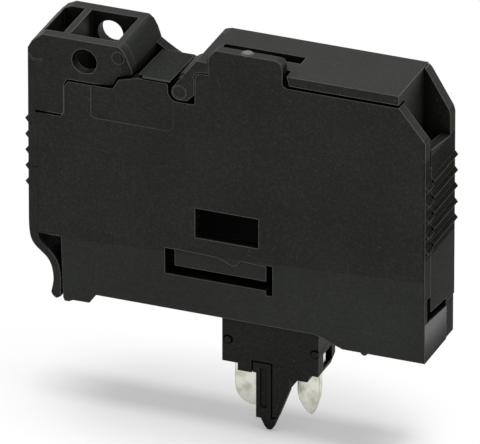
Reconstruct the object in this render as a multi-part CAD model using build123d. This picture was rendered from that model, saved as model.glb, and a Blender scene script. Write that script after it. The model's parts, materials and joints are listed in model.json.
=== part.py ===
from build123d import *
import os
from math import cos, radians, sin, sqrt, tan

# Fuse plug for a slim rail-mounted terminal block: a flat housing of one pitch, closed by a flush
# side cover, with a hinged carrier for a 5 x 20 mm cartridge fuse and two knife blades below.
# Lengths are in millimetres. While it is modelled, X starts at the left end, Y at the face of the
# cover and Z at the long underside. At the end every piece moves to the plug-in point, midway
# between the blades and in the middle of the thickness, on that underside.

# Cartridge fuse, 5 x 20 mm
fuse_length = 20.0
fuse_cap_r = 2.6
fuse_cap_length = 5.2
fuse_cap_sheet = 0.25
fuse_glass_wall = 0.45
fuse_wire_r = 0.12
fuse_z = 22.7
fuse_play = 0.25
fuse_start = 2.02
fuse_side = 0.235

# Housing
top_z = 27.86
skin = 1.25
back_wall = 1.28
end_wall = 1.02
floor_wall = 0.8
seam = 0.12
run_gap = 0.1

# Head with its two open pockets and the cross hole
head_x = 9.6
head_slope_x = 10.95
head_rim = 1.12
head_corner = 1.7
pocket_wall_x = 3.36
pocket_wall = 0.7
pocket_end_x = 9.05
pocket_z = 20.4
cross_hole_x = 6.02
cross_hole_z = 25.66
cross_hole_r = 1.33
head_seam_z = 19.18
head_seam_x = 3.8
head_sill_z = 23.15
head_gap = 0.24

# Saddle between the head and the carrier
saddle_z = 25.12
saddle_fall = 0.25
saddle_lip = 0.14
saddle_gap = 0.2
saddle_floor = 1.2
saddle_left_x = 11.6
saddle_end_x = 15.1
saddle_groove = 0.9

# Hinge of the carrier
pivot_x = 16.09
pivot_z = 24.09
barrel_r = 1.2
arm_disc_r = 0.85
shoulder_r = 0.6
pin_r = 0.5
pin_fit = 0.03
pin_head_r = 0.66
pin_head = 0.12
lug = 0.7
lug_r = 1.08
lug_stem_drop = 2.6
ramp_angle = 53.0

# Carrier lid
lid_wall = 1.0
lid_gap = 0.33
lid_inset = 2.84
lid_end_wall = 0.8
lid_end_drop = 3.6
lid_slot_x = 19.1
lid_slot_length = 8.55
lid_slot_front = 3.14
lid_slot_width = 1.53
roof_wall = 0.5

# Upright tab of the cover
tab_x = 19.15
tab_width = 7.8
tab_rise = 1.49
tab_corner = 0.85

# Right end
end_chamfer_x = 2.8
end_chamfer_z = 3.4
end_back_z = 4.2
end_wall_top = 21.75
end_wall_low = 3.92
end_fall = 0.11
end_block_top = 3.07
end_block_back = 0.87
end_block = 3.4
cover_rim = 1.62
cover_rim_top = 19.9

# Feet under the housing
foot_pad = 1.12
left_pad_x = 3.6
left_pad_width = 2.8
right_pad_inset = 11.8
pad_slope = 3.1
pip_inset = 6.42
pip_r = 0.39

# Grip ribs on both ends
rib_top_z = 18.32
rib_pitch = 1.737
rib_count = 5
rib_height = 0.8
rib_out = 0.34
cover_rib_drop = 0.4

# Spring latch at the lower left
latch_z = 7.4
latch_gap_z = 5.87
latch_reach = 2.6

# Window and snap tongue in the cover
window_x = 17.72
window_z = 8.39
window_width = 6.72
window_height = 3.26
tongue_x = 15.5
tongue_width = 9.72
tongue_z = 4.87
tongue_slot = 1.0
tongue_leg = 0.7
tongue_leg_z = 6.7
tongue_sink = 0.12

# Crease and shallow marks of the cover and the head
crease_left_z = 5.5
crease_rise = 2.35
crease_slope = 0.0125
mark_depth = 0.06
dash_z = 13.03
field_x = 6.7
field_z = 19.65
field_width = 8.7

# Plug foot, in two halves around the blades
plug_x = 25.0
plug_width = 10.2
plug_depth = 4.68
plug_drop = 5.63
plug_step = 0.79
plug_step_width = 7.6
plug_flange = 0.8
plug_pin_r = 0.37
plug_pin_z = -3.16
plug_pin_inset = 0.62
fit = 0.04
tongue_tip_z = -11.0
tongue_shoulder_z = -7.9
tongue_end_width = 1.14
tongue_plate = 0.8
tongue_root_z = -7.75

# Locking key beside the tongue
key_width = 1.74
key_top_z = -5.05
key_lug = 0.33
key_lug_z = -6.35
key_low_z = -11.3
key_tip_z = -12.42
key_slot_r = 0.36
key_slot_depth = 0.14
key_gap = 0.14

# Knife blades and their strips
blade_pitch = 6.64
blade_width = 2.36
blade_shoulder = 0.35
blade_coin = 1.5
blade_thickness = 0.7
blade_tip_z = -11.05
strip_width = 1.0
left_riser_x = 12.9
right_riser_inset = 7.6
strip_top_z = 16.0
left_arm = 3.6
right_arm = 2.7
tenon = 0.6
tenon_width = 1.2
left_tenon = 1.4
right_tenon = 0.5
strip_pad = 1.1
strip_pad_height = 1.2
low_pad_z = 5.0
high_pad_z = 12.0

# Contact springs
spring_sheet = 0.3
spring_width = 3.0
spring_touch = 0.05
spring_lean = 0.9
spring_rise = 1.6
spring_bow = 2.3

# Derived places: the housing is as wide and as long as the fuse asks for
width = skin + back_wall + 2 * (fuse_cap_r + fuse_side)
middle_y = width / 2
inner_front = skin
inner_back = width - back_wall
end_block_depth = inner_back - end_block_back
cover_top = top_z - lid_wall - lid_gap
saddle_cover_z = saddle_z - saddle_lip - saddle_gap
tab_top = top_z + tab_rise
tab_right = tab_x + tab_width
plug_front = middle_y - plug_depth / 2
plug_back = middle_y + plug_depth / 2
blade_front = middle_y - blade_thickness / 2
blade_back = middle_y + blade_thickness / 2
fuse_x = pivot_x + fuse_start
fuse_end_x = fuse_x + fuse_length
fuse_low_z = fuse_z - fuse_cap_r
fuse_glass_r = fuse_cap_r - fuse_cap_sheet - 0.02
lid_x = fuse_end_x + fuse_play + lid_end_wall
length = lid_x + lid_inset
right_pad_x = length - right_pad_inset
right_riser_x = length - right_riser_inset


def panel(points, y_front, y_back):
    """Flat slab with an outline in X and Z, between two depths."""
    outline = Polyline(*[(x, y_front, z) for x, z in points], close=True)
    return extrude(make_face(outline), amount=y_back - y_front, dir=(0, 1, 0))


def block(x0, x1, y0, y1, z0, z1):
    """Rectangular block between two opposite corners."""
    size = Box(x1 - x0, y1 - y0, z1 - z0)
    return Pos((x0 + x1) / 2, (y0 + y1) / 2, (z0 + z1) / 2) * size


def rod(x, z, radius, y_front, y_back):
    """Round bar along Y."""
    bar = Rot(90, 0, 0) * Cylinder(radius, y_back - y_front)
    return Pos(x, (y_front + y_back) / 2, z) * bar


def slab(points, x_left, x_right):
    """Bar along X with an outline in Y and Z."""
    outline = Polyline(*[(x_left, y, z) for y, z in points], close=True)
    return extrude(make_face(outline), amount=x_right - x_left, dir=(1, 0, 0))


def axle(x_left, x_right, radius, y, z):
    """Round bar along X."""
    bar = Rot(0, 90, 0) * Cylinder(radius, x_right - x_left)
    return Pos((x_left + x_right) / 2, y, z) * bar


def rounded(body, radius, spots):
    """Round the upright corners of the outline that stand at the given places."""
    for x, z in spots:
        near = [
            edge
            for edge in body.edges().filter_by(Axis.Y)
            if abs(edge.center().X - x) < 0.05 and abs(edge.center().Z - z) < 0.05
        ]
        body = fillet(near, radius)
    return body


def save(name, body):
    """Move a finished piece to the plug-in point and write it."""
    export_step(Pos(-plug_x, -middle_y, 0) * body, f"parts/{name}.step")


def ribs(x, out, y_front, y_back, drop=0.0):
    """Row of V-shaped grip ribs on an end face."""
    row = None
    for i in range(rib_count):
        z = rib_top_z - drop - i * rib_pitch
        rib = panel([(x, z + rib_height / 2), (x + out, z), (x, z - rib_height / 2)], y_front, y_back)
        row = rib if row is None else row + rib
    return row


def underside(left, right):
    """Points of the lower edge from the right end to the left one, with both feet."""
    return [
        (right, -foot_pad),
        (right_pad_x + pad_slope, -foot_pad),
        (right_pad_x + 0.68 * pad_slope, -foot_pad * 0.67),
        (right_pad_x + 0.33 * pad_slope, -foot_pad * 0.24),
        (right_pad_x, 0),
        (left_pad_x + left_pad_width + 0.7, 0),
        (left_pad_x + left_pad_width, -foot_pad * 0.9),
        (left + 1.05, -foot_pad * 0.92),
        (left + 0.6, -foot_pad * 1.12),
        (left + 0.15, -foot_pad * 1.12),
        (left, -foot_pad * 0.8),
    ]


# Outline of the cover, clockwise from its upper left corner
notch_left = pivot_x - 1.24
notch_right = pivot_x + 1.63
notch_low = pivot_z - 1.09
head_step = head_sill_z - 0.65
cover_outline = [
    (end_wall + 0.04, head_seam_z),
    (head_seam_x - 0.4, head_seam_z),
    (head_seam_x, head_seam_z + 0.46),
    (head_seam_x, head_step),
    (head_seam_x + 0.5, head_sill_z),
    (head_x - 0.6, head_sill_z),
    (head_x, head_sill_z + 1.09),
    (head_x + 0.9, saddle_cover_z - 0.27),
    (saddle_left_x, saddle_cover_z),
    (notch_left, saddle_cover_z),
    (notch_left, notch_low),
    (notch_right, notch_low),
    (notch_right, cover_top),
    (tab_x, cover_top),
    (tab_x, tab_top - 0.89),
    (tab_x + 0.74, tab_top),
    (tab_right, tab_top),
    (tab_right, cover_top),
    (length - end_chamfer_x, cover_top),
    (length, cover_top - end_chamfer_z),
] + underside(left_pad_x, length) + [
    (left_pad_x - 0.17, latch_gap_z),
    (end_wall + 0.04, latch_gap_z),
]

cover = panel(cover_outline, 0, skin)
cover = rounded(cover, 1.0, [(notch_left, notch_low)])
cover = rounded(cover, 0.3, [(notch_right, notch_low)])
cover = rounded(cover, shoulder_r, [(notch_right, cover_top)])
cover = rounded(cover, tab_corner, [(tab_right, tab_top)])
cover = rounded(cover, 0.5, [(tab_right, cover_top)])
cover = rounded(cover, 0.2, [(notch_left, saddle_cover_z), (tab_x + 0.74, tab_top)])

# Thick rim at the right end, with the solid corner block below it
rim_x = length - end_wall
cover += block(rim_x, length, skin, cover_rim, 0, cover_rim_top)
block_x = length - end_block
cover += slab(
    [
        (skin, -foot_pad),
        (end_block_depth, -foot_pad),
        (end_block_depth, end_block_top - end_fall * (end_block_depth - skin)),
        (skin, end_block_top),
    ],
    block_x,
    length,
)
cover -= block(length - 0.5, length, 0.67, cover_rim + run_gap, end_block_top, end_block_top + 2.65)
cover += rod(length - pip_inset, -foot_pad + 0.13, pip_r, 0, skin)

# Window, the slot that frees the snap tongue, and the hinge lug
cover -= block(window_x, window_x + window_width, 0, skin, window_z, window_z + window_height)
tongue_right = tongue_x + tongue_width
slot_low = tongue_z - tongue_slot
cover -= block(tongue_x - tongue_slot, tongue_right, 0, skin, slot_low, tongue_z)
cover -= block(tongue_x - tongue_slot, tongue_x, 0, skin, slot_low, tongue_leg_z)
cover -= block(
    tongue_right, tongue_right + tongue_leg, 0, skin, slot_low - 0.5, tongue_leg_z
)
lug_stem = [
    (pivot_x - lug_r, pivot_z),
    (pivot_x + 0.4, pivot_z),
    (pivot_x + 0.4, pivot_z - lug_stem_drop),
    (pivot_x - lug_r, pivot_z - lug_stem_drop),
]
cover += panel(lug_stem, skin, skin + lug)
cover += rod(pivot_x, pivot_z, lug_r, skin, skin + lug)
cover -= rod(pivot_x, pivot_z, pin_r + pin_fit, 0, skin + lug)
cover += ribs(length, rib_out, 0.15, cover_rim, cover_rib_drop)

# Sunk marking field, which runs out to the right, and the sunk face of the tongue with its skewed nick
field = panel(
    [
        (field_x, saddle_z),
        (field_x, field_z + 0.3),
        (field_x + 0.3, field_z),
        (field_x + field_width - 0.4, field_z),
        (field_x + field_width, field_z + 0.5),
        (field_x + field_width, saddle_z),
    ],
    -1,
    1,
)
run_out = Polyline(
    (field_x - 1, -1, 0),
    (field_x - 1, mark_depth, 0),
    (field_x + field_width * 0.6, mark_depth, 0),
    (field_x + field_width + 1, 0, 0),
    (field_x + field_width + 1, -1, 0),
    close=True,
)
cover -= field & extrude(make_face(run_out), amount=saddle_z, dir=(0, 0, 1))
cover -= panel(
    [
        (tongue_x, tongue_z + 1.88),
        (tongue_x + 0.475 * tongue_width, tongue_z + 1.73),
        (tongue_x + 0.64 * tongue_width, tongue_z + 1.03),
        (tongue_x + 0.68 * tongue_width, tongue_z + 1.2),
        (tongue_x + 0.75 * tongue_width, tongue_z + 1.78),
        (tongue_right, tongue_z + 1.63),
        (tongue_right, tongue_z),
        (tongue_x, tongue_z),
    ],
    0,
    tongue_sink,
)
nick_x = tongue_x + 0.68 * tongue_width
cover -= panel(
    [
        (nick_x, tongue_z + 1.2),
        (nick_x + 0.35, tongue_z + 1.62),
        (nick_x + 0.75, tongue_z + 1.88),
        (nick_x + 0.25, tongue_z + 1.3),
    ],
    0,
    0.3,
)

# The face falls back a little below a crease that climbs to the right
crease = (length, crease_rise)
crease_length = sqrt(crease[0] ** 2 + crease[1] ** 2)
tilted = Plane(
    origin=(0, 0, crease_left_z),
    x_dir=(crease[0] / crease_length, 0, crease[1] / crease_length),
    z_dir=(crease[1] / crease_length * crease_slope, -1, -crease[0] / crease_length * crease_slope),
)
cover -= tilted * Pos(length / 2, 0, width / 2) * Box(2 * length, 2 * length, width)

# Top of the tab: eased back edge and the flat stub of the gate
cover -= slab(
    [(skin - 0.2, tab_top), (skin, tab_top - 0.2), (skin + 1, tab_top - 0.2), (skin + 1, tab_top)],
    tab_x,
    tab_right,
)
cover += Pos(tab_x + tab_width / 2, skin / 2, tab_top + 0.03) * Cylinder(0.5, 0.1)

# Back shell: the back wall with the outline of the housing
head_edge = [
    (head_x + 0.05, top_z),
    (head_x + 0.55, top_z - 0.41),
    (head_x + 0.95, top_z - 1.14),
    (head_slope_x - 0.1, top_z - 2.0),
    (head_slope_x, saddle_z + 0.4),
]
back_outline = [
    (0, head_seam_z),
    (0, top_z - head_corner),
    (0.35, top_z - 0.62 * head_corner),
    (1.0, top_z - 0.25 * head_corner),
    (1.9, top_z),
] + head_edge + [
    (saddle_left_x, saddle_z - 0.03),
    (saddle_left_x + 0.85, saddle_z - 0.55),
    (saddle_left_x + 1.7, saddle_z - 1.0),
    (notch_left, saddle_z - 1.0),
    (notch_left, notch_low),
    (notch_right, notch_low),
    (notch_right, cover_top),
    (lid_x + run_gap, cover_top),
    (lid_x + run_gap, top_z - 0.1),
    (lid_x + 0.45, top_z - 0.52),
    (length - 0.15, top_z - end_back_z),
    (length, top_z - end_back_z - 0.55),
] + underside(left_pad_x, length) + [
    (left_pad_x - 0.17, latch_gap_z),
    (0, latch_z),
]
shell = panel(back_outline, inner_back, width)
shell = rounded(shell, 1.0, [(notch_left, notch_low), (notch_right, notch_low)])
shell = rounded(shell, shoulder_r, [(notch_right, cover_top)])

# Head: solid to full thickness, then its pockets and the cross hole
head_outline = [
    (0, head_seam_z + head_gap),
    (0, top_z - head_corner),
    (0.42, top_z - 0.54 * head_corner),
    (1.55, top_z),
] + head_edge + [
    (head_slope_x, saddle_cover_z + 0.1),
    (head_x + 0.8, saddle_cover_z - 0.27 + head_gap),
    (head_x - 0.2, head_sill_z + 1.09 + head_gap),
    (head_x - 0.75, head_sill_z + head_gap),
    (head_seam_x + 0.34, head_sill_z + head_gap),
    (head_seam_x - 0.01, head_step + 0.2),
    (head_seam_x - 0.01, head_seam_z + 0.46),
    (head_seam_x - 0.25, head_seam_z + head_gap),
]
shell += panel(head_outline, 0, skin)
head_body = [
    (0, head_seam_z - 0.6),
    (0, top_z - head_corner),
    (0.42, top_z - 0.54 * head_corner),
    (1.55, top_z),
] + head_edge + [
    (head_slope_x, saddle_z - saddle_groove),
    (saddle_left_x, saddle_z - saddle_groove),
    (saddle_left_x, saddle_z - saddle_floor),
    (pocket_end_x + 1.2, saddle_z - saddle_floor),
    (pocket_end_x + 1.2, head_seam_z - 0.6),
]
shell += panel(head_body, skin + seam, inner_back)
shell += block(end_wall + 0.2, pocket_end_x, skin, skin + seam, head_sill_z + 0.3, top_z - 0.8)

# Saddle: a slab that falls a little to the back, hollowed around the carrier's barrel
saddle = slab(
    [
        (0, saddle_z - saddle_lip),
        (skin + seam, saddle_z - saddle_lip),
        (skin + seam, saddle_z - saddle_floor),
        (inner_back, saddle_z - saddle_floor),
        (inner_back, saddle_z - saddle_fall),
        (0, saddle_z),
    ],
    saddle_left_x,
    saddle_end_x,
)
shell += saddle - rod(pivot_x, pivot_z, barrel_r + run_gap, 0, inner_back)
shell -= block(
    head_rim, pocket_wall_x, head_rim, inner_back, pocket_z, top_z
)
shell -= block(
    pocket_wall_x + pocket_wall, pocket_end_x, head_rim, inner_back, pocket_z, top_z
)
shell -= rod(cross_hole_x, cross_hole_z, cross_hole_r, 0, width)
shell -= rod(cross_hole_x + 0.85, cross_hole_z - 1.0, 0.16, 0, head_rim)

# Round marks of the ejector pins on the face of the head
shell -= rod(head_x, top_z - 1.2, 0.64, 0, mark_depth)
corner_mark = rod(0.9, cross_hole_z + 0.1, 0.95, 0, mark_depth) - rod(0.9, cross_hole_z + 0.1, 0.8, 0, 1)
shell -= corner_mark & block(0.1, 1.5, 0, 1, head_seam_z, cross_hole_z - 0.2)

# Undercut where the head's face meets the cover: two sloping facets below a bent edge


def facet(start, end, reach, depth):
    """Wedge that falls away from the edge start-end, down and to the right of it."""
    run = sqrt((end[0] - start[0]) ** 2 + (end[1] - start[1]) ** 2)
    way = ((end[0] - start[0]) / run, (end[1] - start[1]) / run)
    far = (start[0] + way[1] * reach, start[1] - way[0] * reach)
    section = Polyline(
        (start[0], 0, start[1]), (far[0], 0, far[1]), (far[0], depth, far[1]), close=True
    )
    return extrude(make_face(section), amount=run, dir=(way[0], 0, way[1]))


bend = (head_x + 0.15, head_sill_z + 2.6)
shell -= facet((head_x - 3.1, head_sill_z - 0.25), bend, 3.2, 1.1)
shell -= facet(bend, (head_x + 2.2, head_sill_z + 3.2), 2.6, 0.9)

# End walls, floor and feet
shell += block(0, end_wall, 0, inner_back, latch_z - 0.1, head_seam_z + head_gap + 0.1)
shell -= block(0.75, head_seam_x - 0.3, 0, skin, head_seam_z - 0.02, head_seam_z + head_gap)
shell -= block(0.4, 0.96, 0, mark_depth, dash_z, dash_z + 0.17)
wall_x = length - end_wall
wall_y = cover_rim + 0.04
shell += slab(
    [
        (wall_y, end_wall_low),
        (inner_back, end_wall_low - end_fall * (inner_back - wall_y)),
        (inner_back, end_wall_top - 1.4 * end_fall * (inner_back - wall_y)),
        (wall_y, end_wall_top),
    ],
    wall_x,
    length,
)
shell += block(wall_x, length, end_block_depth + 0.06, inner_back, -foot_pad, end_wall_low - 0.5)
shell += panel(
    [(left_pad_x, floor_wall), (block_x - run_gap, floor_wall)]
    + underside(left_pad_x, block_x - run_gap),
    skin + 0.04,
    inner_back,
)
shell -= block(length - 0.1, length, 0, width, -foot_pad, end_block_top - 0.1)
shell += ribs(0, -rib_out, 0, width)
shell += ribs(length, rib_out, cover_rim + 0.1, width)

# Spring latch, a thin curved wall that hangs from the left end wall


def latch_points(shares):
    """Points of the latch from shares of its reach in X and of its root's height in Z."""
    return [(share[0] * latch_reach, 0, share[1] * latch_z) for share in shares]


latch_outer = Spline(
    *latch_points(
        [
            (0, 1),
            (0.023, 0.811),
            (0.138, 0.655),
            (0.404, 0.549),
            (0.723, 0.453),
            (0.931, 0.318),
            (1, 0.149),
            (0.938, -0.007),
        ]
    ),
    tangents=[(0, 0, -1), (-0.2, 0, -1)],
)
latch_inner = Spline(
    *latch_points(
        [
            (1.3, -0.041),
            (1.292, 0.203),
            (1.215, 0.358),
            (1.054, 0.473),
            (0.808, 0.568),
            (0.538, 0.659),
        ]
    ),
    (end_wall, 0, latch_gap_z - 0.1),
    tangents=[(0, 0, 1), (-0.05, 0, 1)],
)
latch_toe = Spline(
    latch_outer @ 1,
    *latch_points([(0.908, -0.057), (1, -0.119), (1.154, -0.14), (1.269, -0.114)]),
    latch_inner @ 0,
    tangents=[(-0.2, 0, -1), (0, 0, 1)],
)
latch_edge = [
    latch_outer,
    latch_toe,
    latch_inner,
    Line(latch_inner @ 1, (end_wall, 0, latch_z)),
    Line((end_wall, 0, latch_z), latch_outer @ 0),
]
shell += extrude(make_face(latch_edge), amount=width, dir=(0, 1, 0))

# Hinge lug of the back wall, and the passage of the plug foot
shell += panel(lug_stem, inner_back - lug, inner_back)
shell += rod(pivot_x, pivot_z, lug_r, inner_back - lug, inner_back)
shell -= rod(pivot_x, pivot_z, pin_r + pin_fit, inner_back - lug, width)
plug_left = plug_x - plug_width / 2
plug_right = plug_x + plug_width / 2
shell -= block(
    plug_left - fit, plug_right + fit, 0, plug_back + fit, -foot_pad, floor_wall
)

# Carrier: the lid with its ramp, turned about the pivot by the hinge pin
ramp = radians(ramp_angle)
along = (cos(ramp), sin(ramp))
across = (-sin(ramp), cos(ramp))
ramp_sheet = 0.8
outer_foot = (pivot_x + arm_disc_r * across[0], pivot_z + arm_disc_r * across[1])
inner_foot = (
    pivot_x + (arm_disc_r - ramp_sheet) * across[0],
    pivot_z + (arm_disc_r - ramp_sheet) * across[1],
)
ramp_top_x = outer_foot[0] + (top_z - outer_foot[1]) / tan(ramp)
ramp_low_x = inner_foot[0] + (top_z - lid_wall - inner_foot[1]) / tan(ramp)
lid_profile = [
    outer_foot,
    (ramp_top_x, top_z),
    (lid_x, top_z),
    (lid_x, top_z - lid_wall),
    (ramp_low_x, top_z - lid_wall),
    inner_foot,
]
carrier_front = inner_front + run_gap
carrier_back = inner_back - run_gap
carrier = panel(lid_profile, carrier_front, carrier_back)
carrier += rod(pivot_x, pivot_z, barrel_r, inner_front + lug + 0.05, inner_back - lug - 0.05)
carrier -= rod(pivot_x, pivot_z, lug_r + 0.12, inner_front, inner_front + lug + 0.05)
carrier -= rod(pivot_x, pivot_z, lug_r + 0.12, inner_back - lug - 0.05, inner_back)

# Side arms that lie in the notches of the cover and of the back wall
arm_top = [outer_foot, (ramp_top_x, top_z)]
rear_arm_top = [
    outer_foot,
    (ramp_top_x - 0.3 * along[0], top_z - 0.3 * along[1]),
    (ramp_top_x + 0.25, top_z - 0.08),
    (ramp_top_x + 0.6, top_z),
]
arm_rest = [
    (tab_x - run_gap, top_z),
    (tab_x - run_gap, cover_top + run_gap + 0.05),
] + [
    (
        notch_right + shoulder_r - (shoulder_r + 0.15) * sin(radians(turn)),
        cover_top - shoulder_r + (shoulder_r + 0.15) * cos(radians(turn)),
    )
    for turn in (0, 30, 60, 90)
] + [
    (notch_right - 0.07, pivot_z + 1.6),
    (notch_right - 0.07, pivot_z),
    (pivot_x + 0.8, pivot_z - 0.78),
    (pivot_x, pivot_z - arm_disc_r),
]
arms = panel(arm_top + arm_rest, 0, carrier_front)
arms += rod(pivot_x, pivot_z, arm_disc_r, 0, carrier_front)
arms -= rod(pivot_x, pivot_z, lug_r + 0.5, inner_front - 0.03, carrier_front)
rear_arms = panel(rear_arm_top + arm_rest, carrier_back, width)
rear_arms += rod(pivot_x, pivot_z, arm_disc_r, carrier_back, width)
rear_arms -= rod(pivot_x, pivot_z, lug_r + 0.5, carrier_back, inner_back + 0.03)
lid_low = top_z - lid_wall
front_lip = block(tab_x, lid_x, 0, carrier_front, lid_low, top_z)
tab_reach = sqrt((tab_right - pivot_x) ** 2 + (tab_top - tab_corner - pivot_z) ** 2)
front_lip -= rod(pivot_x, pivot_z, tab_reach + 0.2, 0, carrier_front)
back_lip = block(tab_x - run_gap, lid_x, carrier_back, width, lid_low, top_z)
carrier += arms
carrier += rear_arms
carrier += front_lip
carrier += back_lip
carrier -= rod(pivot_x, pivot_z, pin_r + pin_fit, 0, width)
carrier -= rod(pivot_x, pivot_z, pin_head_r + 0.06, 0, pin_head + 0.08)
carrier -= block(
    lid_slot_x,
    lid_slot_x + lid_slot_length,
    lid_slot_front,
    lid_slot_front + lid_slot_width,
    top_z - lid_wall,
    top_z,
)

# Inner side of the carrier: end wall, roof over the fuse and two jaws that grip the glass
carrier += block(
    lid_x - lid_end_wall, lid_x, carrier_front + 0.2, carrier_back, fuse_z - lid_end_drop + 0.9, lid_low
)
roof_z = fuse_z + fuse_cap_r + 0.12
carrier += block(
    fuse_x + 0.9, lid_x - lid_end_wall, carrier_front + 0.2, carrier_back, roof_z, roof_z + roof_wall
)
jaw_width = 2.4
for jaw_x in (fuse_x + fuse_cap_length + 0.8, fuse_end_x - fuse_cap_length - 0.8 - jaw_width):
    jaw = block(
        jaw_x, jaw_x + jaw_width, carrier_front + 0.03, carrier_back - 0.03, fuse_z - 0.9, lid_low
    )
    jaw -= axle(jaw_x, jaw_x + jaw_width, fuse_glass_r + 0.03, middle_y, fuse_z)
    carrier += jaw

# Hinge pin through the lugs and the barrel
pin = rod(pivot_x, pivot_z, pin_r, 0.04, width - 0.04)
pin += rod(pivot_x, pivot_z, pin_head_r, 0.03, 0.03 + pin_head)

# Cartridge fuse: glass tube, two drawn caps and the fuse wire
glass = axle(fuse_x + fuse_cap_sheet, fuse_end_x - fuse_cap_sheet, fuse_glass_r, middle_y, fuse_z)
glass -= axle(fuse_x, fuse_end_x, fuse_glass_r - fuse_glass_wall, middle_y, fuse_z)


def fuse_cap(x_end, x_mouth):
    """Drawn cap, closed at x_end and open at x_mouth."""
    low, high = min(x_end, x_mouth), max(x_end, x_mouth)
    cap = axle(low, high, fuse_cap_r, middle_y, fuse_z)
    shift = fuse_cap_sheet if x_end < x_mouth else -fuse_cap_sheet
    bore = axle(
        min(x_end + shift, x_mouth), max(x_end + shift, x_mouth), fuse_glass_r + 0.01, middle_y, fuse_z
    )
    cap -= bore
    ends = [edge for edge in cap.edges().filter_by(GeomType.CIRCLE) if abs(edge.center().X - x_end) < 0.01]
    return fillet(ends, 0.2)


cap_left = fuse_cap(fuse_x, fuse_x + fuse_cap_length)
cap_right = fuse_cap(fuse_end_x, fuse_end_x - fuse_cap_length)
wire = axle(fuse_x + fuse_cap_sheet, fuse_end_x - fuse_cap_sheet, fuse_wire_r, middle_y, fuse_z)

# Blades with their strips, stamped flat from one sheet
left_x = plug_x - blade_pitch / 2
right_x = plug_x + blade_pitch / 2
half_blade = blade_width / 2
strip_low = floor_wall + 0.1
strip_high = strip_low + 0.85


def blade_points(x, side, tip):
    """Lower end of a blade, from its shoulder round the tip; side is -1 left and 1 right."""
    outer = [
        (x + side * half_blade, strip_low),
        (x + side * half_blade, plug_pin_z + 1.2),
        (x + side * (half_blade + blade_shoulder), plug_pin_z + 0.9),
        (x + side * (half_blade + blade_shoulder), -plug_drop + 0.5),
        (x + side * half_blade, -plug_drop + 0.2),
    ]
    nose = [(x + share * half_blade, blade_tip_z + rise) for share, rise in tip]
    return outer + nose + [(x - side * half_blade, strip_high)]


# Noses of the blades, as shares of the half width and heights above the tip: both lean to the right
left_nose = [(-1, 2.2), (-0.93, 1.45), (-0.72, 0.8), (-0.3, 0.25), (0.25, -0.03), (0.7, -0.1), (1, 0.1)]
right_nose = [
    (1, 3.2),
    (0.93, 2.05),
    (0.61, 0.6),
    (0.42, 0.2),
    (0.2, 0),
    (-0.1, 0.2),
    (-0.47, 0.72),
    (-0.86, 1.65),
    (-1, 2.55),
]
spring_z = strip_top_z
left_strip_outline = blade_points(left_x, -1, left_nose) + [
    (left_riser_x + strip_width, strip_high),
    (left_riser_x + strip_width, strip_top_z - strip_width),
    (left_riser_x + left_arm, strip_top_z - strip_width),
    (left_riser_x + left_arm, strip_top_z),
    (left_riser_x + left_tenon + tenon_width, strip_top_z),
    (left_riser_x + left_tenon + tenon_width, strip_top_z + tenon),
    (left_riser_x + left_tenon, strip_top_z + tenon),
    (left_riser_x + left_tenon, strip_top_z),
    (left_riser_x, strip_top_z),
    (left_riser_x, strip_low),
]
left_strip = panel(left_strip_outline, blade_front, blade_back)
right_strip_outline = blade_points(right_x, 1, right_nose)[::-1] + [
    (right_riser_x, strip_low),
    (right_riser_x + strip_width, strip_low),
    (right_riser_x + strip_width, strip_top_z),
    (right_riser_x - right_tenon, strip_top_z),
    (right_riser_x - right_tenon, strip_top_z + tenon),
    (right_riser_x - right_tenon - tenon_width, strip_top_z + tenon),
    (right_riser_x - right_tenon - tenon_width, strip_top_z),
    (right_riser_x - right_arm, strip_top_z),
    (right_riser_x - right_arm, strip_top_z - strip_width),
    (right_riser_x, strip_top_z - strip_width),
    (right_riser_x, strip_high),
]
right_strip = panel(right_strip_outline, blade_front, blade_back)
coin = slab(
    [
        (blade_front - 0.1, blade_tip_z + blade_coin),
        (blade_front, blade_tip_z + blade_coin),
        (blade_front + 0.28 * blade_thickness, blade_tip_z - 0.3),
        (blade_front - 0.1, blade_tip_z - 0.3),
    ],
    left_x - blade_width,
    right_x + blade_width,
)
coin += slab(
    [
        (blade_back + 0.1, blade_tip_z + blade_coin),
        (blade_back, blade_tip_z + blade_coin),
        (blade_back - 0.28 * blade_thickness, blade_tip_z - 0.3),
        (blade_back + 0.1, blade_tip_z - 0.3),
    ],
    left_x - blade_width,
    right_x + blade_width,
)
left_strip -= coin
right_strip -= coin
plug_pin_left = plug_left + plug_pin_inset
plug_pin_right = plug_right - plug_pin_inset + 0.29
left_strip -= rod(plug_pin_left, plug_pin_z, plug_pin_r + fit, blade_front, blade_back)
right_strip -= rod(plug_pin_right, plug_pin_z, plug_pin_r + fit, blade_front, blade_back)

# Contact springs: one stands against the left cap, one bears up against the right cap
spring_y0 = middle_y - spring_width / 2
spring_y1 = middle_y + spring_width / 2
left_tip_x = fuse_x - spring_touch
left_spring = panel(
    [
        (left_riser_x + 0.9, spring_z),
        (left_tip_x - spring_lean, spring_z),
        (left_tip_x - spring_lean + spring_sheet, spring_z + 0.75 * spring_rise),
        (left_tip_x - 0.55 * spring_lean, fuse_z - 0.85 * fuse_cap_r),
        (left_tip_x, fuse_z - 0.38 * fuse_cap_r),
        (left_tip_x - 0.28 * spring_lean, fuse_z + 0.08 * fuse_cap_r),
        (left_tip_x - 0.55 * spring_lean, fuse_z + 0.02 * fuse_cap_r),
        (left_tip_x - 0.36 * spring_lean, fuse_z - 0.38 * fuse_cap_r),
        (left_tip_x - 0.55 * spring_lean - spring_sheet, fuse_z - 0.81 * fuse_cap_r),
        (left_tip_x - spring_lean, spring_z + 0.75 * spring_rise),
        (left_tip_x - spring_lean - spring_sheet, spring_z + spring_sheet),
        (left_riser_x + 0.9, spring_z + spring_sheet),
    ],
    spring_y0,
    spring_y1,
)
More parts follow.
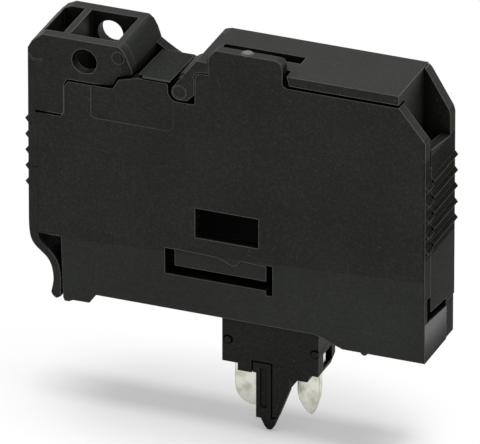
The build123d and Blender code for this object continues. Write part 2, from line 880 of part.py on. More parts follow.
left_spring -= block(
    left_riser_x + left_tenon - fit,
    left_riser_x + left_tenon + tenon_width + fit,
    blade_front - fit,
    blade_back + fit,
    spring_z,
    spring_z + 1,
)
touch_z = fuse_low_z - spring_touch
touch_x = fuse_end_x - fuse_cap_length / 2
right_spring = panel(
    [
        (right_riser_x - right_arm + 0.4, spring_z),
        (touch_x + 0.74 * spring_bow, spring_z),
        (touch_x + spring_bow, spring_z + spring_rise),
        (touch_x + 0.17 * spring_bow, touch_z),
        (touch_x - 0.17 * spring_bow, touch_z),
        (touch_x - 0.87 * spring_bow, touch_z - 0.62 * spring_rise),
        (touch_x - 0.8 * spring_bow, touch_z - 0.81 * spring_rise),
        (touch_x - 0.13 * spring_bow, touch_z - spring_sheet),
        (touch_x + 0.13 * spring_bow, touch_z - spring_sheet),
        (touch_x + 0.85 * spring_bow, spring_z + spring_rise),
        (touch_x + 0.63 * spring_bow, spring_z + spring_sheet),
        (right_riser_x - right_arm + 0.4, spring_z + spring_sheet),
    ],
    spring_y0,
    spring_y1,
)
right_spring -= block(
    right_riser_x - right_tenon - tenon_width - fit,
    right_riser_x - right_tenon + fit,
    blade_front - fit,
    blade_back + fit,
    spring_z,
    spring_z + 1,
)

# Pads that hold the strips between the shell and the cover
for pad_x, pad_z in (
    (left_riser_x + strip_width / 2, low_pad_z),
    (left_riser_x + strip_width / 2, high_pad_z),
    (right_riser_x + strip_width / 2, low_pad_z),
    (right_riser_x + strip_width / 2, high_pad_z),
):
    pad_low = pad_z - strip_pad_height / 2
    pad_high = pad_z + strip_pad_height / 2
    shell += block(pad_x - strip_pad, pad_x + strip_pad, blade_back, inner_back, pad_low, pad_high)
    cover += block(pad_x - strip_pad, pad_x + strip_pad, skin, blade_front, pad_low, pad_high)

# Plug foot: two halves that close on the blades
step_left = plug_x - 3.45
step_right = step_left + plug_step_width
tip_left = plug_x + 0.24
tongue_right_x = plug_x + 1.98
foot_outline = [
    (plug_left, floor_wall + plug_flange),
    (plug_right, floor_wall + plug_flange),
    (plug_right, -plug_drop),
    (step_right, -plug_drop),
    (step_right - 0.2, -plug_drop - plug_step),
    (tongue_right_x, -plug_drop - plug_step),
    (tongue_right_x, tongue_shoulder_z),
    (tip_left + tongue_end_width / 2, tongue_tip_z),
    (tip_left, tongue_tip_z),
    (tip_left, key_top_z),
    (tip_left - key_width - key_lug - key_gap, key_top_z),
    (tip_left - key_width - key_lug - key_gap, -plug_drop - plug_step),
    (step_left, -plug_drop - plug_step),
    (step_left, -plug_drop),
    (plug_left, -plug_drop),
]
flange = block(
    plug_left - 0.6, plug_right + 0.6, plug_front, plug_back, floor_wall + 0.03, floor_wall + plug_flange
)
foot = panel(foot_outline, plug_front, plug_back) + flange
strip_room = panel(
    [
        (left_riser_x - 1, strip_low - fit),
        (left_x - half_blade - fit, strip_low - fit),
        (left_x - half_blade - fit, plug_pin_z + 1.2 + fit),
        (left_x - half_blade - blade_shoulder - fit, plug_pin_z + 0.9 + fit),
        (left_x - half_blade - blade_shoulder - fit, -plug_drop - 2),
        (left_x + half_blade + fit, -plug_drop - 2),
        (left_x + half_blade + fit, strip_high + 1),
        (left_riser_x - 1, strip_high + 1),
    ],
    blade_front - fit,
    blade_back + fit,
)
strip_room += panel(
    [
        (right_riser_x + 2, strip_low - fit),
        (right_x + half_blade + fit, strip_low - fit),
        (right_x + half_blade + fit, plug_pin_z + 1.2 + fit),
        (right_x + half_blade + blade_shoulder + fit, plug_pin_z + 0.9 + fit),
        (right_x + half_blade + blade_shoulder + fit, -plug_drop - 2),
        (right_x - half_blade - fit, -plug_drop - 2),
        (right_x - half_blade - fit, strip_high + 1),
        (right_riser_x + 2, strip_high + 1),
    ],
    blade_front - fit,
    blade_back + fit,
)
foot -= strip_room
foot -= block(
    plug_right - 0.55, plug_right, middle_y - 0.9, middle_y + 1.4, plug_pin_z - 2.1, plug_pin_z - 0.6
)
behind = block(step_left, step_right, plug_front + tongue_plate, width, key_tip_z - 1, tongue_root_z)
foot -= behind
foot -= slab(
    [
        (plug_back, -plug_drop + 0.6),
        (plug_back, -plug_drop - 0.1),
        (plug_back - 1.4, -plug_drop - 0.1),
        (plug_back - 1.2, -plug_drop),
    ],
    step_right,
    plug_right,
)
foot_front = foot & block(0, length, 0, middle_y, key_tip_z, top_z)
foot_back = foot & block(0, length, middle_y, width, -plug_drop - plug_step, top_z)
for pin_x in (plug_pin_left, plug_pin_right):
    foot_front -= rod(pin_x, plug_pin_z, plug_pin_r + 0.01, 0, middle_y)
    foot_front -= rod(pin_x, plug_pin_z, plug_pin_r + run_gap, 0, plug_front + run_gap)
    foot_back += rod(pin_x, plug_pin_z, plug_pin_r, plug_front - 0.12, blade_back + 0.3)

# Locking key beside the tongue, clipped between the halves
key_left = tip_left - key_width
key_right = tip_left - key_gap
key_outline = [
    (key_left - key_lug, key_top_z - key_gap),
    (key_right, key_top_z - key_gap),
    (key_right, tongue_tip_z - 0.3),
    (tip_left + 0.5, tongue_tip_z - 0.08),
    (tip_left + 0.02, key_tip_z + 0.14),
    (tip_left - 0.15, key_tip_z),
    (tip_left - 0.55, key_tip_z),
    (tip_left - 0.85, key_tip_z + 0.36),
    (key_left + 0.5, key_low_z),
    (key_left, key_low_z),
    (key_left, key_lug_z),
    (key_left - key_lug, key_lug_z),
]
key = panel(key_outline, plug_front, plug_back - 0.3)
key -= behind
key_slot_x = (key_left + key_right) / 2
key_slot_low = key_low_z + 1.5
key_slot_back = plug_front + key_slot_depth
key -= block(
    key_slot_x - key_slot_r, key_slot_x + key_slot_r, 0, key_slot_back, key_slot_low, key_top_z - 0.7
)
key -= rod(key_slot_x, key_slot_low, key_slot_r, 0, key_slot_back)

os.makedirs("parts", exist_ok=True)
save("rear_shell", shell)
save("front_cover", cover)
save("fuse_carrier", carrier)
save("hinge_pin", pin)
save("fuse_glass", glass)
save("fuse_cap_left", cap_left)
save("fuse_cap_right", cap_right)
save("fuse_wire", wire)
save("blade_left", left_strip)
save("blade_right", right_strip)
save("spring_left", left_spring)
save("spring_right", right_spring)
save("plug_half_front", foot_front)
save("plug_half_back", foot_back)
save("locking_key", key)
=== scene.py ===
import json
import math

import bmesh
import bpy
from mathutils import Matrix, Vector

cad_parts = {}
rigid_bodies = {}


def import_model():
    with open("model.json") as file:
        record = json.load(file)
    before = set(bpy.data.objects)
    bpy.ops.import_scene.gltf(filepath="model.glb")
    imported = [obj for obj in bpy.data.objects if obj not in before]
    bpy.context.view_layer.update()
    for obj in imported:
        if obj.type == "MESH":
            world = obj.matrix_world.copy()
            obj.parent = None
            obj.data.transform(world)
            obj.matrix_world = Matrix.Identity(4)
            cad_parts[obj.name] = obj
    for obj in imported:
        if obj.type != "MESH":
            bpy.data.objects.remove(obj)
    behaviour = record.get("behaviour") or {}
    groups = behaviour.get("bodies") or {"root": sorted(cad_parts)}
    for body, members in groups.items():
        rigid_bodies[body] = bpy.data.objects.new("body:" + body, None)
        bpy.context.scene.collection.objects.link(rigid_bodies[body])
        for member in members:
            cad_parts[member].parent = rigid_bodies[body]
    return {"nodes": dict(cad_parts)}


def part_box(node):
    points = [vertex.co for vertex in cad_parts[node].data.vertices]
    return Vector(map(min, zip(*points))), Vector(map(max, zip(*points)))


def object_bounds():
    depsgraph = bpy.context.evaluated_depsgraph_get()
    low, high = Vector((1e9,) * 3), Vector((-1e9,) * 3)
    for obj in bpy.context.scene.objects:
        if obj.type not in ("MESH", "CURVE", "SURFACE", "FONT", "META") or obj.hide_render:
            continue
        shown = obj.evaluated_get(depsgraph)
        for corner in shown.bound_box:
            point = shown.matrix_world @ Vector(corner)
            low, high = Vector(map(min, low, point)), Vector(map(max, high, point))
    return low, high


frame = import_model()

bl_info = {
    "name": "Terminal block fuse plug",
    "version": (1, 0, 0),
    "blender": (4, 5, 0),
    "location": "3D View > Sidebar > Fuse plug",
    "description": "Dresses the CAD model of a slim fuse plug: moulded plastics, tinned blades and the fuse",
    "category": "Object",
}

MM = 0.001
CAD_LOW, CAD_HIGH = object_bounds()

# Zones of the plastic's surface, in millimetres of the frame. Each axis has its low end, its high end
# and half the width over which the zone fades; None is an open end.
LEFT_X = CAD_LOW[0] / MM
RIGHT_X = CAD_HIGH[0] / MM
FACE_Y = CAD_LOW[1] / MM
COVER_FACE = {"Y": (None, FACE_Y + 0.15, 0.02)}
LEFT_SEAM = {"X": (None, LEFT_X + 2.34, 0.1), "Y": (None, FACE_Y + 0.5, 0.1), "Z": (None, 20.4, 0.1)}
RIGHT_END = {"X": (RIGHT_X - 0.5, None, 0.02)}
RIBS = {**RIGHT_END, "Z": (10.2, 21.0, 0.1)}
CORNER_BLOCK = {**RIGHT_END, "Z": (None, 3.15, 0.05)}
SADDLE = {"X": (-15.1, -9.8, 0.1), "Z": (24.6, None, 0.1)}
OPENINGS = {"X": (-10.9, 1.2, 0.02), "Y": (FACE_Y + 0.25, FACE_Y + 1.23, 0.02), "Z": (3.0, 12.0, 0.02)}

# Crease of the cover: its height at X = 0 in millimetres, and how much it climbs to the right
CREASE_Z = 6.9
CREASE_CLIMB = 0.056

# Heights in millimetres between which the polish of the corner block fades, and how much rougher it gets
POLISH_TOP = 2.4
POLISH_FOOT = -1.0
POLISH_LOSS = 0.55

# Stub of the gate on the tab, in millimetres: along the plug, behind the cover's face, and its radius
GATE_X = -1.95
GATE_DEPTH = 0.62
GATE_R = 0.62

# Plastic: size of the flow marks and spacing of the dust in millimetres, and what no piece changes
FLOW_SIZE = 9.0
DUST_SPACING = 1.9
PIT_COLOUR = "#030303"
DUST_COLOUR = "#6A6A64"
TORN_COLOUR = "#6E6E68"
# Near-black of the painted shade in recesses and seams
HOLLOW_SHADE_COLOUR = "#020202"
POLYAMIDE_IOR = 1.53
SHUT_OFF_ROUGH = 0.12
RIB_DULLNESS = 0.85

# Stage, in metres, with the sensor in millimetres, the picture in pixels and the lamp in watts
SENSOR_WIDTH = 36.0
PICTURE_WIDTH = 480
AIM = Vector((-4.133, 0.017, 8.772)) * MM
PLUG_MIDDLE = Vector((-4.1, 0.0, 8.7)) * MM
LAMP_PLACE = Vector((0.17, 0.0, 0.93))
LAMP_SIZE = 0.42
LAMP_POWER = 6.3
ROOM_STRENGTH = 0.46
FLOOR_HALF = 3.0
GLOW_START = 12 * MM
GLOW_END = 25 * MM

# Sockets of the Mix node, whose names repeat: first, second and result of each kind
MIX_SOCKETS = {"RGBA": (6, 7, 2), "FLOAT": (2, 3, 0)}


def linear(text):
    """Linear colour of an sRGB hex value, with alpha 1."""
    channels = []
    for i in (1, 3, 5):
        value = int(text[i : i + 2], 16) / 255
        channels.append(value / 12.92 if value <= 0.04045 else ((value + 0.055) / 1.055) ** 2.4)
    return (*channels, 1.0)


def add_node(tree, kind, settings=None, inputs=None, links=None):
    """Add one node, set its properties and unlinked inputs, and link what leads into it."""
    node = tree.nodes.new(kind)
    for key, value in (settings or {}).items():
        setattr(node, key, value)
    for key, value in (inputs or {}).items():
        node.inputs[key].default_value = value
    for key, source in (links or {}).items():
        tree.links.new(source, node.inputs[key])
    return node


def new_material(name):
    """A fresh material with an empty node tree and its output."""
    material = bpy.data.materials.new(name)
    material.use_nodes = True
    tree = material.node_tree
    tree.nodes.clear()
    return material, tree, add_node(tree, "ShaderNodeOutputMaterial")


def dress(material, *node_names):
    """Give CAD nodes their material."""
    for node_name in node_names:
        mesh = frame["nodes"][node_name].data
        mesh.materials.clear()
        mesh.materials.append(material)


def zone(tree, place, limits):
    """Mask that is 1 inside the limits of a zone."""
    axes = add_node(tree, "ShaderNodeSeparateXYZ", links={"Vector": place}).outputs
    mask = None
    for axis, (low, high, soft) in limits.items():
        for bound, above in ((low, 1.0), (high, 0.0)):
            if bound is None:
                continue
            side = add_node(
                tree, "ShaderNodeMapRange",
                inputs={
                    "From Min": (bound - soft) * MM, "From Max": (bound + soft) * MM,
                    "To Min": 1.0 - above, "To Max": above,
                },
                links={"Value": axes[axis]},
            ).outputs["Result"]
            if mask is None:
                mask = side
            else:
                mask = add_node(
                    tree, "ShaderNodeMath", {"operation": "MULTIPLY"}, links={0: mask, 1: side}
                ).outputs[0]
    return mask


def edge_mask(tree, bevel, start, full, strength):
    """Mask of the edges: where the bevelled normal leaves the true one, from start to full."""
    true = add_node(tree, "ShaderNodeNewGeometry").outputs["True Normal"]
    bend = add_node(
        tree, "ShaderNodeVectorMath", {"operation": "DOT_PRODUCT"},
        links={0: bevel.outputs["Normal"], 1: true},
    ).outputs["Value"]
    return add_node(
        tree, "ShaderNodeMapRange",
        inputs={"From Min": start, "From Max": full, "To Max": strength}, links={"Value": bend},
    ).outputs["Result"]


def seen_rays(tree):
    """Mask of the rays that the camera sees by: straight, mirrored and through glass."""
    rays = add_node(tree, "ShaderNodeLightPath").outputs
    seen = rays["Is Camera Ray"]
    for other in ("Is Glossy Ray", "Is Transmission Ray"):
        seen = add_node(
            tree, "ShaderNodeMath", {"operation": "MAXIMUM"}, links={0: seen, 1: rays[other]}
        ).outputs[0]
    return seen


def lay_over(tree, kind, base, layers):
    """Lay colours or numbers over a base in order, each by its own mask."""
    first, second, result = MIX_SOCKETS[kind]
    for share, layer in layers:
        mix = add_node(tree, "ShaderNodeMix", {"data_type": kind}, links={0: share})
        for socket, source in ((first, base), (second, layer)):
            if isinstance(source, bpy.types.NodeSocket):
                tree.links.new(source, mix.inputs[socket])
            else:
                mix.inputs[socket].default_value = source
        base = mix.outputs[result]
    return base


def surface_grain(tree, place, eroded, look):
    """Layers of the eroded texture: flow marks, pits, grains and a few specks of dust."""
    flow = add_node(
        tree, "ShaderNodeTexNoise", inputs={"Scale": 1 / (FLOW_SIZE * MM), "Detail": 2.0, "Roughness": 0.5},
        links={"Vector": place},
    )
    bloom = add_node(
        tree, "ShaderNodeMapRange", inputs={"From Min": 0.3, "From Max": 0.75},
        links={"Value": flow.outputs["Fac"]},
    )
    # Pits and grains of the eroded steel are drawn a little coarser than real, so that they show.
    pits = add_node(
        tree, "ShaderNodeMapRange", inputs={"From Min": 0.5, "From Max": 0.3, "To Max": 0.75},
        links={"Value": eroded},
    )
    grains = add_node(
        tree, "ShaderNodeMapRange", inputs={"From Min": 0.5, "From Max": 0.74, "To Max": 0.6},
        links={"Value": eroded},
    )
    cells = add_node(
        tree, "ShaderNodeTexVoronoi", inputs={"Scale": 1 / (DUST_SPACING * MM), "Randomness": 1.0},
        links={"Vector": place},
    )
    dust_and_shade = add_node(
        tree, "ShaderNodeMapRange",
        inputs={"From Min": 0.02, "From Max": 0.06, "To Min": 0.3, "To Max": 0.0},
        links={"Value": cells.outputs["Distance"]},
    )
    return [
        (bloom.outputs["Result"], linear(look.pale)),
        (pits.outputs["Result"], linear(PIT_COLOUR)),
        (grains.outputs["Result"], linear(look.grit_and_painted_light)),
        (dust_and_shade.outputs["Result"], linear(DUST_COLOUR)),
    ]


def painted_edges(tree, place, bevel, look):
    """Mask of the edges, which take a painted highlight, and a painted shade on the foot; the tight seam at
    the left hardly shows.
    """
    edges = edge_mask(tree, bevel, 0.993, 0.88, look.edge_paint_share)
    shown = add_node(
        tree, "ShaderNodeMapRange", inputs={"To Min": 1.0, "To Max": 0.1},
        links={"Value": zone(tree, place, LEFT_SEAM)},
    )
    return add_node(
        tree, "ShaderNodeMath", {"operation": "MULTIPLY"}, links={0: edges, 1: shown.outputs["Result"]}
    ).outputs[0]


def cover_marks(tree, place, gate, look):
    """Layers of the cover alone: painted light that makes the face below the crease lighter, and the torn
    stub of the gate.
    """
    axes = add_node(tree, "ShaderNodeSeparateXYZ", links={"Vector": place}).outputs
    height = add_node(
        tree, "ShaderNodeMath", {"operation": "MULTIPLY_ADD"}, {1: -CREASE_CLIMB},
        {0: axes["X"], 2: axes["Z"]},
    ).outputs[0]
    below = add_node(
        tree, "ShaderNodeMapRange",
        inputs={
            "From Min": (CREASE_Z - 0.06) * MM, "From Max": (CREASE_Z + 0.06) * MM,
            "To Min": 0.25, "To Max": 0.0,
        },
        links={"Value": height},
    )
    # Painted light: the cover's face below the crease is made lighter.
    painted_lighter_face = add_node(
        tree, "ShaderNodeMath", {"operation": "MULTIPLY"},
        links={0: below.outputs["Result"], 1: zone(tree, place, COVER_FACE)},
    )
    distance = add_node(
        tree, "ShaderNodeVectorMath", {"operation": "DISTANCE"}, {1: [c * MM for c in gate]}, {0: place}
    )
    stub = add_node(
        tree, "ShaderNodeMapRange",
        inputs={
            "From Min": (GATE_R - 0.06) * MM, "From Max": (GATE_R + 0.06) * MM,
            "To Min": 1.0, "To Max": 0.0,
        },
        links={"Value": distance.outputs["Value"]},
    )
    return [(painted_lighter_face.outputs[0], linear(look.grit_and_painted_light)), (stub.outputs["Result"], linear(TORN_COLOUR))]


def hollow_shade_mask(tree, look):
    """Mask of painted shade in recesses and seams, found by ambient occlusion."""
    air = add_node(
        tree, "ShaderNodeAmbientOcclusion", {"samples": 8}, {"Distance": look.hollow_shade * MM}
    ).outputs["AO"]
    return add_node(
        tree, "ShaderNodeMapRange",
        inputs={"From Min": 0.3, "From Max": 0.97, "To Min": 1.0, "To Max": 0.0}, links={"Value": air},
    ).outputs["Result"]


def plastic_roughness(tree, place, eroded, look, gate):
    """Roughness of the plastic: finely eroded, coarser at the right end and on the saddle."""
    fine = add_node(
        tree, "ShaderNodeMapRange",
        inputs={
            "From Min": 0.25, "From Max": 0.75, "To Min": look.rough - 0.05, "To Max": look.rough + 0.06,
        },
        links={"Value": eroded},
    ).outputs["Result"]
    layers = [
        (zone(tree, place, RIGHT_END), look.end_rough),
        (zone(tree, place, SADDLE), look.end_rough),
    ]
    if gate:
        # The end of the corner block was polished in the mould, best at its upper edge.
        axes = add_node(tree, "ShaderNodeSeparateXYZ", links={"Vector": place}).outputs
        polished = add_node(
            tree, "ShaderNodeMapRange",
            inputs={
                "From Min": POLISH_TOP * MM, "From Max": POLISH_FOOT * MM,
                "To Min": look.polish, "To Max": look.polish + POLISH_LOSS,
            },
            links={"Value": axes["Z"]},
        ).outputs["Result"]
        layers.append((zone(tree, place, CORNER_BLOCK), polished))
        # Faces where steel shut against steel, inside the window and the slots, are smooth.
        layers.append((zone(tree, place, OPENINGS), SHUT_OFF_ROUGH))
    return lay_over(tree, "FLOAT", fine, layers)


def moulded_plastic(name, look, shade=1.0, grain=1.0, shine=0.18, edge_paint="#70726A", gate=None):
    """Matt moulded polyamide: a spark-eroded texture that scatters light, with painted light and shade on
    edges and recesses.

    Shade darkens the look's colour as painted shade, and grain scales its texture. Only the cover has a
    gate, and with it the marks and the polish that are the cover's own, among them painted light below its
    crease.
    """
    material, tree, output = new_material(name)
    place = add_node(tree, "ShaderNodeTexCoord").outputs["Object"]
    eroded = add_node(
        tree, "ShaderNodeTexNoise",
        inputs={"Scale": 1 / (look.grain * grain * MM), "Detail": 3.0, "Roughness": 0.6},
        links={"Vector": place},
    ).outputs["Fac"]
    bevel = add_node(tree, "ShaderNodeBevel", {"samples": 8}, {"Radius": look.edge * MM})
    hollow_shade = hollow_shade_mask(tree, look)

    # A shade below 1 darkens the colour as painted shade, as on the foot.
    dark = (*(channel * shade for channel in linear(look.colour)[:3]), 1.0)
    layers = surface_grain(tree, place, eroded, look)
    # Painted highlight on the edges, and painted shade where the edge colour is dark, as on the foot.
    layers.append((painted_edges(tree, place, bevel, look), linear(edge_paint)))
    if gate:
        layers += cover_marks(tree, place, gate, look)
    # Painted shade: recesses and seams darken to near black.
    layers.append((hollow_shade, linear(HOLLOW_SHADE_COLOUR)))
    colour = lay_over(tree, "RGBA", dark, layers)
    relief = add_node(
        tree, "ShaderNodeBump", inputs={"Strength": 0.5, "Distance": 0.03 * MM},
        links={"Height": eroded, "Normal": bevel.outputs["Normal"]},
    ).outputs["Normal"]

    clean = add_node(
        tree, "ShaderNodeBsdfPrincipled", inputs={"IOR": POLYAMIDE_IOR, "Specular IOR Level": shine},
        links={
            "Base Color": colour, "Normal": relief,
            "Roughness": plastic_roughness(tree, place, eroded, look, gate),
        },
    )
    # Painted shade: recesses and seams, found by ambient occlusion, shine less; the rib zone of the right
    # end wall is made as dull.
    dull_and_shaded = add_node(
        tree, "ShaderNodeBsdfPrincipled",
        inputs={"IOR": POLYAMIDE_IOR, "Specular IOR Level": 0.03, "Roughness": 0.8},
        links={"Base Color": colour, "Normal": relief},
    )
    dust_and_shade = lay_over(tree, "FLOAT", hollow_shade, [(zone(tree, place, RIBS), RIB_DULLNESS)])
    surface = add_node(
        tree, "ShaderNodeMixShader", links={0: dust_and_shade, 1: clean.outputs["BSDF"], 2: dull_and_shaded.outputs["BSDF"]}
    )
    tree.links.new(surface.outputs[0], output.inputs["Surface"])
    return material


def metal(name, colour, stain, edge, rough, scratch, bumps=0.25):
    """Bare or plated metal: rolling marks vary its roughness, a stain its colour; its edges take a painted
    shade.
    """
    material, tree, output = new_material(name)
    place = add_node(tree, "ShaderNodeTexCoord").outputs["Object"]
    # Rolling marks run along the blades, so their pattern is drawn out in Z.
    drawn_out = add_node(
        tree, "ShaderNodeMapping", inputs={"Scale": (8.0, 8.0, 0.6)}, links={"Vector": place}
    )
    marks = add_node(
        tree, "ShaderNodeTexNoise", inputs={"Scale": 1 / (scratch * MM), "Detail": 4.0},
        links={"Vector": drawn_out.outputs["Vector"]},
    ).outputs["Fac"]
    cloud = add_node(
        tree, "ShaderNodeTexNoise", inputs={"Scale": 1 / (1.6 * scratch * MM), "Detail": 3.0},
        links={"Vector": place},
    )
    patch = add_node(
        tree, "ShaderNodeMapRange", inputs={"From Min": 0.42, "From Max": 0.66},
        links={"Value": cloud.outputs["Fac"]},
    )
    gloss = add_node(
        tree, "ShaderNodeMapRange",
        inputs={"From Min": 0.3, "From Max": 0.7, "To Min": rough - 0.08, "To Max": rough + 0.1},
        links={"Value": marks},
    )
    bevel = add_node(tree, "ShaderNodeBevel", {"samples": 6}, {"Radius": 0.1 * MM})
    layers = [
        (patch.outputs["Result"], linear(stain)),
        # Painted shade: the edges are darkened.
        (edge_mask(tree, bevel, 0.99, 0.85, 0.85), linear(edge)),
    ]
    tone = lay_over(tree, "RGBA", linear(colour), layers)
    relief = add_node(
        tree, "ShaderNodeBump", inputs={"Strength": bumps, "Distance": 0.03 * MM},
        links={"Height": marks, "Normal": bevel.outputs["Normal"]},
    )
    shader = add_node(
        tree, "ShaderNodeBsdfPrincipled", inputs={"Metallic": 1.0},
        links={
            "Base Color": tone, "Roughness": gloss.outputs["Result"], "Normal": relief.outputs["Normal"],
        },
    )
    tree.links.new(shader.outputs["BSDF"], output.inputs["Surface"])
    return material


def clear_glass(name):
    """Drawn soda-lime tube: clear, smooth, with a faint green edge."""
    material, tree, output = new_material(name)
    shader = add_node(
        tree, "ShaderNodeBsdfPrincipled",
        inputs={
            "Base Color": linear("#EEF6F2"), "Roughness": 0.03, "IOR": 1.52, "Transmission Weight": 1.0,
        },
    )
    tree.links.new(shader.outputs["BSDF"], output.inputs["Surface"])
    return material


def glowing_paper(name, below):
    """Matt white seamless paper, glowing white to the camera as painted light, more so away from the plug.
    """
    material, tree, output = new_material(name)
    paper = add_node(tree, "ShaderNodeBsdfDiffuse", inputs={"Color": linear("#FEFEFE")})
    white = add_node(tree, "ShaderNodeEmission", inputs={"Color": linear("#FFFFFF"), "Strength": 1.0})
    place = add_node(tree, "ShaderNodeTexCoord").outputs["Object"]
    away = add_node(
        tree, "ShaderNodeVectorMath", {"operation": "DISTANCE"}, {1: below}, {0: place}
    ).outputs["Value"]
    # Painted light: the paper glows more away from the plug, fading the shadow there.
    painted_glow = add_node(
        tree, "ShaderNodeMapRange", {"interpolation_type": "SMOOTHSTEP"},
        {"From Min": GLOW_START, "From Max": GLOW_END, "To Min": 0.28, "To Max": 0.9}, {"Value": away},
    ).outputs["Result"]
    share = add_node(
        tree, "ShaderNodeMath", {"operation": "MULTIPLY"}, links={0: seen_rays(tree), 1: painted_glow}
    ).outputs[0]
    lifted = add_node(
        tree, "ShaderNodeMixShader",
        links={0: share, 1: paper.outputs["BSDF"], 2: white.outputs["Emission"]},
    )
    tree.links.new(lifted.outputs[0], output.inputs["Surface"])
    return material


def add_floor(scene, height):
    """A wide plane below the plug."""
    mesh = bpy.data.meshes.new("floor")
    work = bmesh.new()
    bmesh.ops.create_grid(work, x_segments=1, y_segments=1, size=FLOOR_HALF)
    bmesh.ops.translate(work, verts=work.verts, vec=(0, 0, height))
    work.to_mesh(mesh)
    work.free()
    mesh.materials.append(glowing_paper("seamless paper", (PLUG_MIDDLE.x, PLUG_MIDDLE.y, height)))
    floor = bpy.data.objects.new("floor", mesh)
    scene.collection.objects.link(floor)


def add_room(scene):
    """White surroundings: seen as plain white, and giving soft light from all sides."""
    world = bpy.data.worlds.new("white room")
    scene.world = world
    world.use_nodes = True
    tree = world.node_tree
    tree.nodes.clear()
    output = add_node(tree, "ShaderNodeOutputWorld")
    white = linear("#FFFFFF")
    light = add_node(tree, "ShaderNodeBackground", inputs={"Color": white, "Strength": ROOM_STRENGTH})
    seen = add_node(tree, "ShaderNodeBackground", inputs={"Color": white, "Strength": 1.0})
    which = add_node(
        tree, "ShaderNodeMixShader", links={0: seen_rays(tree), 1: light.outputs[0], 2: seen.outputs[0]}
    )
    tree.links.new(which.outputs[0], output.inputs["Surface"])


def add_lamp(scene):
    """One square lamp high above, a little to the right, turned to the plug's middle."""
    lamp = bpy.data.lights.new("lamp_top", "AREA")
    lamp.energy = LAMP_POWER
    lamp.size = LAMP_SIZE
    holder = bpy.data.objects.new("lamp_top", lamp)
    holder.location = LAMP_PLACE
    holder.rotation_euler = (PLUG_MIDDLE - LAMP_PLACE).to_track_quat("-Z", "Y").to_euler()
    scene.collection.objects.link(holder)


def add_camera(scene, look):
    """The camera of the picture, far off with a very long lens."""
    data = bpy.data.cameras.new("camera")
    data.sensor_width = SENSOR_WIDTH
    data.sensor_fit = "HORIZONTAL"
    data.lens = look.lens
    data.clip_start = 0.05
    data.clip_end = 20.0
    level = math.cos(look.elevation)
    back = Vector((
        math.sin(look.azimuth) * level,
        -math.cos(look.azimuth) * level,
        math.sin(look.elevation),
    ))
    distance = look.lens / SENSOR_WIDTH * PICTURE_WIDTH / look.pixels_per_mm * MM
    camera = bpy.data.objects.new("camera", data)
    camera.location = AIM + back * distance
    camera.rotation_euler = (-back).to_track_quat("-Z", "Y").to_euler()
    scene.collection.objects.link(camera)
    scene.camera = camera


class HousingLook(bpy.types.PropertyGroup):
    """Colours and texture of the moulded plastic."""

    colour: bpy.props.StringProperty(
        name="Plastic", description="Colour of the matt black plastic, sRGB hex", default="#0D100C"
    )
    pale: bpy.props.StringProperty(
        name="Bloom", description="Slightly paler colour where the melt flowed", default="#1C1F1A"
    )
    # This colour is also the painted light on the cover's face below the crease.
    grit_and_painted_light: bpy.props.StringProperty(
        name="Grit", description="Colour that the grains of the eroded surface scatter", default="#31342D"
    )
    rough: bpy.props.FloatProperty(
        name="Roughness", description="Roughness of the eroded mould surface", default=0.52,
        min=0.0, max=1.0, subtype="FACTOR",
    )
    end_rough: bpy.props.FloatProperty(
        name="End roughness", description="Roughness of the right end wall and the saddle", default=0.8,
        min=0.0, max=1.0, subtype="FACTOR",
    )
    polish: bpy.props.FloatProperty(
        name="Polish", description="Roughness of the polished corner block", default=0.2,
        min=0.0, max=1.0, subtype="FACTOR",
    )
    edge: bpy.props.FloatProperty(
        name="Edge", description="Radius of the moulded edges in millimetres", default=0.14,
        min=0.0, max=0.5,
    )
    # Share of the painted edge colour: a painted highlight, and a painted shade on the foot
    edge_paint_share: bpy.props.FloatProperty(
        name="Painted edges", description="How far the edges take their worn colour", default=0.8,
        min=0.0, max=1.0, subtype="FACTOR",
    )
    grain: bpy.props.FloatProperty(
        name="Grain", description="Grain of the eroded mould surface in millimetres", default=0.22,
        min=0.05, max=2.0,
    )
    # Reach of the painted shade in recesses and seams, in millimetres
    hollow_shade: bpy.props.FloatProperty(
        name="Hollows", description="How far a hollow darkens the plastic, in millimetres", default=1.6,
        min=0.1, max=5.0,
    )


class StageLook(bpy.types.PropertyGroup):
    """Camera and floor."""

    azimuth: bpy.props.FloatProperty(
        name="Azimuth", description="Camera direction round the plug", default=math.radians(21.54),
        subtype="ANGLE", unit="ROTATION",
    )
    elevation: bpy.props.FloatProperty(
        name="Elevation", description="Camera height above the horizon", default=math.radians(26.87),
        subtype="ANGLE", unit="ROTATION",
    )
    lens: bpy.props.FloatProperty(
        name="Lens", description="Focal length in millimetres on a 36 mm sensor", default=1200.0, min=50.0
    )
    pixels_per_mm: bpy.props.FloatProperty(
        name="Picture scale", description="Pixels of a 480 pixel wide picture for one millimetre",
        default=10.121, min=1.0,
    )
    floor_drop: bpy.props.FloatProperty(
        name="Floor", description="Gap between the key's tip and the floor", default=0.0002,
        min=0.0, subtype="DISTANCE", unit="LENGTH",
    )


class FUSEPLUG_OT_plastics(bpy.types.Operator):
    """Give the housing, the carrier and the foot their moulded plastics"""

    bl_idname = "fuseplug.plastics"
    bl_label = "Moulded plastics"

    def execute(self, context):
        look = context.scene.housing_look
        # Glass-filled polyamide 66 from a spark-eroded mould: deep matt black, soft wide highlights.
        body = moulded_plastic("polyamide 66, eroded mould", look)
        dress(body, "rear_shell", "fuse_carrier", "hinge_pin")
        # The cover is the same plastic, with painted light on its face below the crease; the stub of its
        # gate on the tab is torn and pale.
        low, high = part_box("front_cover")
        gate = (GATE_X, low.y / MM + GATE_DEPTH, high.z / MM)
        cover = moulded_plastic("polyamide 66, eroded mould, torn gate", look, gate=gate)
        dress(cover, "front_cover")
        # The foot comes from a smoother insert of the same black, darkened as painted shade under the body;
        # its edges take a painted shade.
        foot = moulded_plastic(
            "polyamide 66, fine mould", look, shade=0.65, grain=0.8, shine=0.13, edge_paint="#030403"
        )
        dress(foot, "plug_half_front", "plug_half_back", "locking_key")
        return {"FINISHED"}


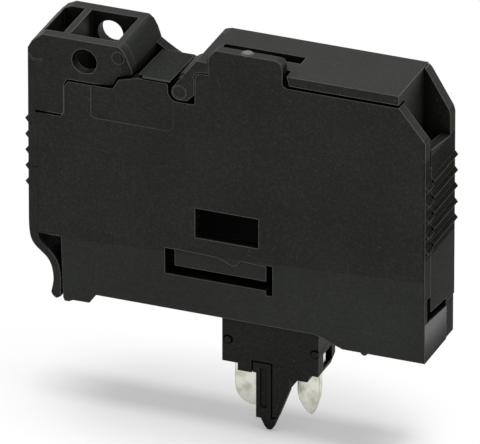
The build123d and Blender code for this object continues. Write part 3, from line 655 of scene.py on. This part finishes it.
class FUSEPLUG_OT_metals(bpy.types.Operator):
    """Give the blades, the springs and the fuse their metals and glass"""

    bl_idname = "fuseplug.metals"
    bl_label = "Blades and fuse"

    def execute(self, context):
        # Hot-dip tinned copper alloy: pale, slightly warm, a soft mirror with rolling marks.
        tin = metal(
            "tinned copper alloy", "#E9E9DE", "#C4C2B0", "#45443A", rough=0.3, scratch=0.7, bumps=0.6
        )
        dress(tin, "blade_left", "blade_right")
        # Rolled phosphor bronze strip: warm, satin.
        bronze = metal("phosphor bronze strip", "#C79A6A", "#B98C5E", "#7A5A3A", rough=0.32, scratch=0.7)
        dress(bronze, "spring_left", "spring_right")
        # Nickel-plated brass caps, drawn and tumbled: grey with a faint yellow cast.
        nickel = metal("nickel-plated brass", "#C9C4B8", "#BDB7A8", "#8C867A", rough=0.22, scratch=0.5)
        dress(nickel, "fuse_cap_left", "fuse_cap_right")
        # Drawn tinned wire: a plain grey thread behind the glass.
        wire = metal("tinned fuse wire", "#BDBDB8", "#B0B0AA", "#8A8A84", rough=0.3, scratch=0.3)
        dress(wire, "fuse_wire")
        # Drawn soda-lime tube: clear, with sharp small reflections.
        dress(clear_glass("soda-lime glass tube"), "fuse_glass")
        return {"FINISHED"}


class FUSEPLUG_OT_stage(bpy.types.Operator):
    """Set the floor, the white surroundings, the lamp and the camera"""

    bl_idname = "fuseplug.stage"
    bl_label = "Floor, light and camera"

    def execute(self, context):
        scene, look = context.scene, context.scene.stage_look
        lowest = min(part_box(name)[0].z for name in frame["nodes"])
        add_floor(scene, lowest - look.floor_drop)
        add_room(scene)
        add_lamp(scene)
        add_camera(scene, look)
        scene.view_settings.view_transform = "Standard"
        return {"FINISHED"}


class FUSEPLUG_PT_panel(bpy.types.Panel):
    """Steps of the fuse plug, in order"""

    bl_idname = "FUSEPLUG_PT_panel"
    bl_label = "Fuse plug"
    bl_space_type = "VIEW_3D"
    bl_region_type = "UI"
    bl_category = "Fuse plug"

    def draw(self, context):
        for step in STEPS:
            self.layout.operator(step.bl_idname)


STEPS = (FUSEPLUG_OT_plastics, FUSEPLUG_OT_metals, FUSEPLUG_OT_stage)
GROUPS = (("housing_look", HousingLook), ("stage_look", StageLook))


def register():
    for name, group in GROUPS:
        bpy.utils.register_class(group)
        setattr(bpy.types.Scene, name, bpy.props.PointerProperty(type=group))
    for step in STEPS:
        bpy.utils.register_class(step)
    bpy.utils.register_class(FUSEPLUG_PT_panel)


def unregister():
    bpy.utils.unregister_class(FUSEPLUG_PT_panel)
    for step in reversed(STEPS):
        bpy.utils.unregister_class(step)
    for name, group in reversed(GROUPS):
        delattr(bpy.types.Scene, name)
        bpy.utils.unregister_class(group)


def main():
    register()
    for thing in list(bpy.data.objects):
        if thing.type in {"LIGHT", "CAMERA"}:
            bpy.data.objects.remove(thing)
    bpy.ops.fuseplug.plastics()
    bpy.ops.fuseplug.metals()
    bpy.ops.fuseplug.stage()


if __name__ == "__main__":
    main()
